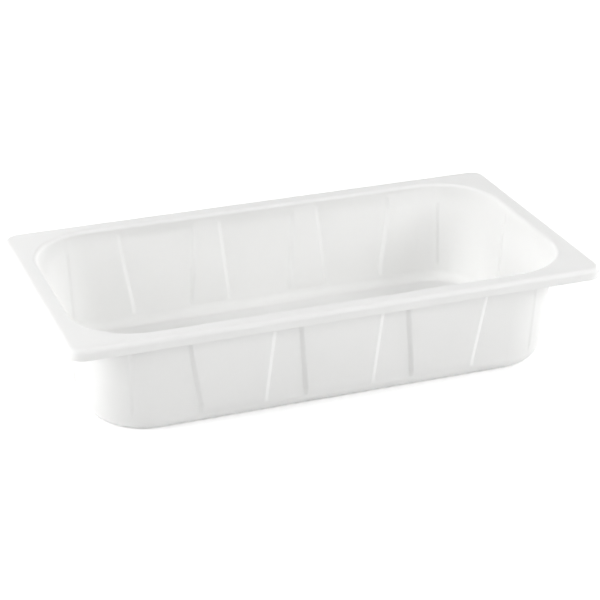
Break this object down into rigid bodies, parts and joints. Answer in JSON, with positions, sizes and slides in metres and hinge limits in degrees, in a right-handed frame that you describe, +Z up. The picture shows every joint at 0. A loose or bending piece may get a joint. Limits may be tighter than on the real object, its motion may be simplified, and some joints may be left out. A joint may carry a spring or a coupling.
{
  "type": "food tray",
  "caption": "Shallow rectangular moulded plastic food tray with a flat rim, a turned-down lip, rounded corners and stepped trapezoid wall panels.",
  "frame": {"origin": "middle of the flat underside", "axes": "+X along the long walls, +Y along the short walls, +Z up out of the open top"},
  "size_m": [0.325, 0.176, 0.0665],
  "materials": {
    "white_plastic": "satin moulded white polypropylene"
  },
  "bodies": {
    "root": {"tray": "white_plastic"}
  },
  "joints": []
}
